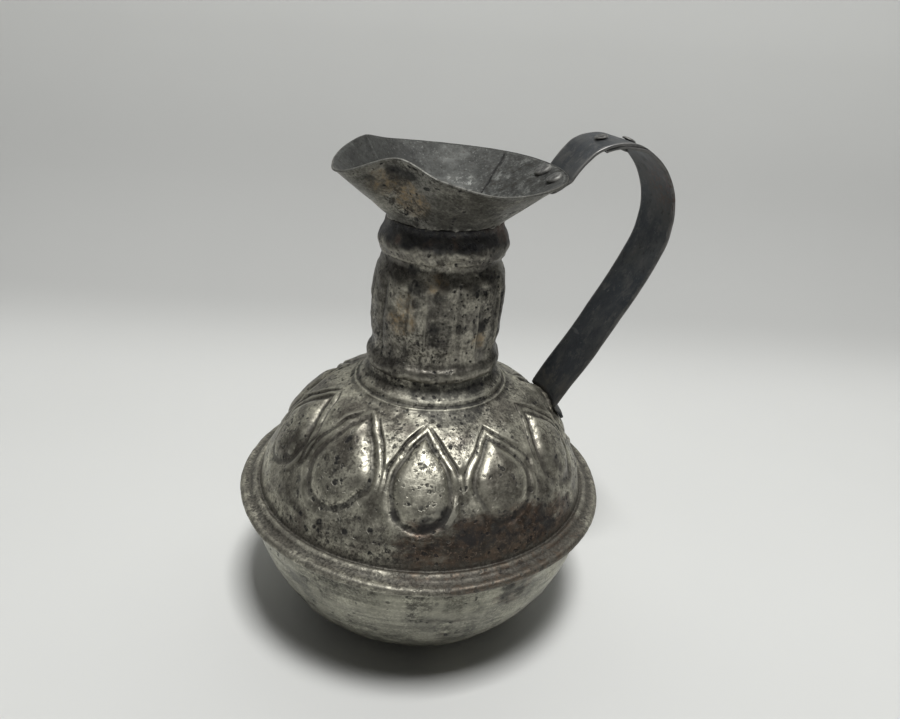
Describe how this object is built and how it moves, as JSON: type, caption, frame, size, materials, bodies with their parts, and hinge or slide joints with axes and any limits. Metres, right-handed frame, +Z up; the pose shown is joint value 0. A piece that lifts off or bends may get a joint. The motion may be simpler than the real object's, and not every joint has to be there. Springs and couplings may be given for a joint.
{
  "type": "metal jug",
  "caption": "Round-bellied tinned copper jug with a repousse shoulder, lobed neck, pinched mouth and riveted strap handle.",
  "frame": {"origin": "centre of the flat disc that the jug stands on, at table height", "axes": "+Z up; +X towards the handle, so the pouring lip is at -X"},
  "size_m": [0.2162, 0.194, 0.2566],
  "materials": {
    "tinned_bowl": "old tinning over copper, pale and streaked",
    "tinned_dark": "old tinning over copper, darkened and pitted",
    "sooted_mouth": "sooted tinning over copper, dull",
    "black_iron": "blackened iron strip, worn lighter at the edges",
    "rivet_metal": "hammered, dark"
  },
  "bodies": {
    "root": {"bowl": "tinned_bowl", "shoulder": "tinned_dark", "neck": "tinned_dark", "mouth": "sooted_mouth", "handle_upper_strap": "black_iron", "handle_lower_strap": "black_iron", "mouth_rivet_1": "rivet_metal", "mouth_rivet_2": "rivet_metal", "arch_rivet_1": "rivet_metal", "arch_rivet_2": "rivet_metal"}
  },
  "joints": []
}
